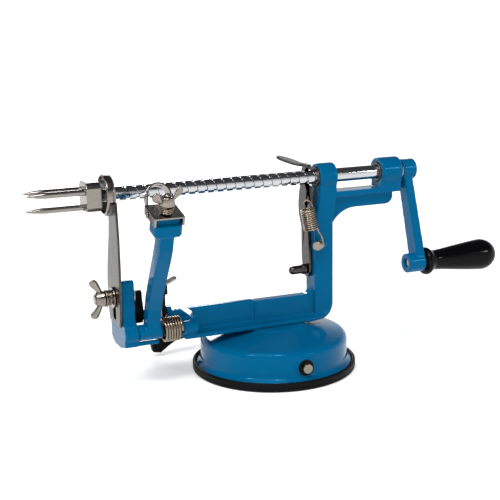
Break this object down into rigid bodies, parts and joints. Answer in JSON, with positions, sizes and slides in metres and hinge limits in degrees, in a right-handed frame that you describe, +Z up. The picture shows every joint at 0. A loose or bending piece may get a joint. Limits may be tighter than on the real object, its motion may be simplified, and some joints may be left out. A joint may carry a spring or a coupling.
{
  "type": "apple peeler corer",
  "caption": "Hand-cranked apple peeler corer: suction base, cast frame, threaded feed screw with fork, sprung peeling arm, slicing plate with coring ring, crank.",
  "frame": {"origin": "centre of the suction cup's flat underside", "axes": "+X along the feed screw from the fork to the crank, +Z up from the table; the peeling arm leans towards -Y"},
  "size_m": [0.3212, 0.11, 0.1406],
  "materials": {
    "blue_enamel": "glossy",
    "chrome_steel": "polished",
    "plate_steel": "ground",
    "nickel_plate": "nickel plated",
    "spring_steel": "drawn wire",
    "bronze_sleeve": "sintered",
    "black_rubber": "matt",
    "black_handle": "glossy",
    "black_oxide": "satin"
  },
  "bodies": {
    "frame": {"cast_frame": "blue_enamel", "base_housing": "blue_enamel", "suction_cup": "black_rubber", "base_bolts": "nickel_plate", "axle_bushings": "black_rubber", "post_bushing": "bronze_sleeve", "outer_bushing": "bronze_sleeve", "pivot_rod": "nickel_plate", "torsion_spring": "spring_steel", "corer_bolt": "nickel_plate", "corer_washers": "nickel_plate", "corer_spring": "spring_steel", "release_bolt": "nickel_plate", "release_spring": "spring_steel", "spring_screw": "nickel_plate", "latch_pin": "nickel_plate"},
    "carriage": {"thrust_washer": "nickel_plate"},
    "spindle": {"feed_screw": "chrome_steel", "crank_shaft": "chrome_steel", "fork_block": "chrome_steel", "fork_prongs": "chrome_steel", "crank_arm": "blue_enamel", "crank_set_screw": "black_oxide", "handle_pin": "nickel_plate"},
    "handle": {"crank_handle": "black_handle"},
    "release": {"release_lever": "plate_steel"},
    "peeler": {"peeler_arm": "blue_enamel", "blade_holder": "plate_steel", "peeling_blade": "plate_steel", "blade_rivets": "nickel_plate", "blade_screw": "nickel_plate", "blade_spring": "spring_steel"},
    "blade_nut": {"blade_wing_nut": "nickel_plate"},
    "corer": {"corer_plate": "plate_steel", "corer_ring": "plate_steel"},
    "corer_nut": {"corer_wing_nut": "nickel_plate"},
    "latch": {"arm_latch": "black_oxide", "latch_thumb": "nickel_plate"},
    "suction": {"cam_axle": "nickel_plate", "suction_lever": "plate_steel", "lever_grip": "black_rubber"},
    "stud": {"pull_stud": "black_handle"}
  },
  "joints": [
    {"name": "screw_feed", "type": "slide", "parent": "frame", "child": "carriage", "axis": [1, 0, 0], "range_m": [0, 0.10795]},
    {"name": "crank_turn", "type": "hinge", "parent": "carriage", "child": "spindle", "pos_m": [0.09, 0, 0.125], "axis": [1, 0, 0], "range_deg": [0, 6120]},
    {"name": "handle_spin", "type": "hinge", "parent": "spindle", "child": "handle", "pos_m": [0.13, -0.01592, 0.06343], "axis": [1, 0, 0], "continuous": true},
    {"name": "release_press", "type": "hinge", "parent": "frame", "child": "release", "pos_m": [0.0264, 0.002, 0.0632], "axis": [-1, 0, 0], "range_deg": [0, 6], "stiffness_Nm_per_rad": 1.6, "springref_deg": -8.59, "deforming": ["release_spring"]},
    {"name": "arm_swing", "type": "hinge", "parent": "frame", "child": "peeler", "pos_m": [-0.0865, -0.0105, 0.0386], "axis": [1, 0, 0], "range_deg": [0, 50], "stiffness_Nm_per_rad": 0.25, "springref_deg": -34.38, "deforming": ["torsion_spring"]},
    {"name": "blade_nut_turn", "type": "hinge", "parent": "peeler", "child": "blade_nut", "pos_m": [-0.0864, -0.04767, 0.12635], "axis": [0, -0.2756, 0.9613], "continuous": true},
    {"name": "corer_adjust", "type": "slide", "parent": "frame", "child": "corer", "axis": [0, 0, 1], "range_m": [0, 0.005]},
    {"name": "corer_nut_turn", "type": "hinge", "parent": "frame", "child": "corer_nut", "pos_m": [-0.116, 0, 0.0605], "axis": [-1, 0, 0], "continuous": true},
    {"name": "latch_swing", "type": "hinge", "parent": "frame", "child": "latch", "pos_m": [-0.088, 0.003, 0.046], "axis": [-1, 0, 0], "range_deg": [0, 40]},
    {"name": "suction_turn", "type": "hinge", "parent": "frame", "child": "suction", "pos_m": [0, 0, 0.0135], "axis": [0, 1, 0], "range_deg": [0, 120]},
    {"name": "stud_lift", "type": "slide", "parent": "frame", "child": "stud", "axis": [0, 0, 1], "range_m": [0, 0.0025]}
  ],
  "couplings": [
    {"joint": "screw_feed", "follows": "crank_turn", "m_per_rad": 0.0010106},
    {"joint": "stud_lift", "follows": "suction_turn", "m_per_rad": 0.0011937}
  ]
}
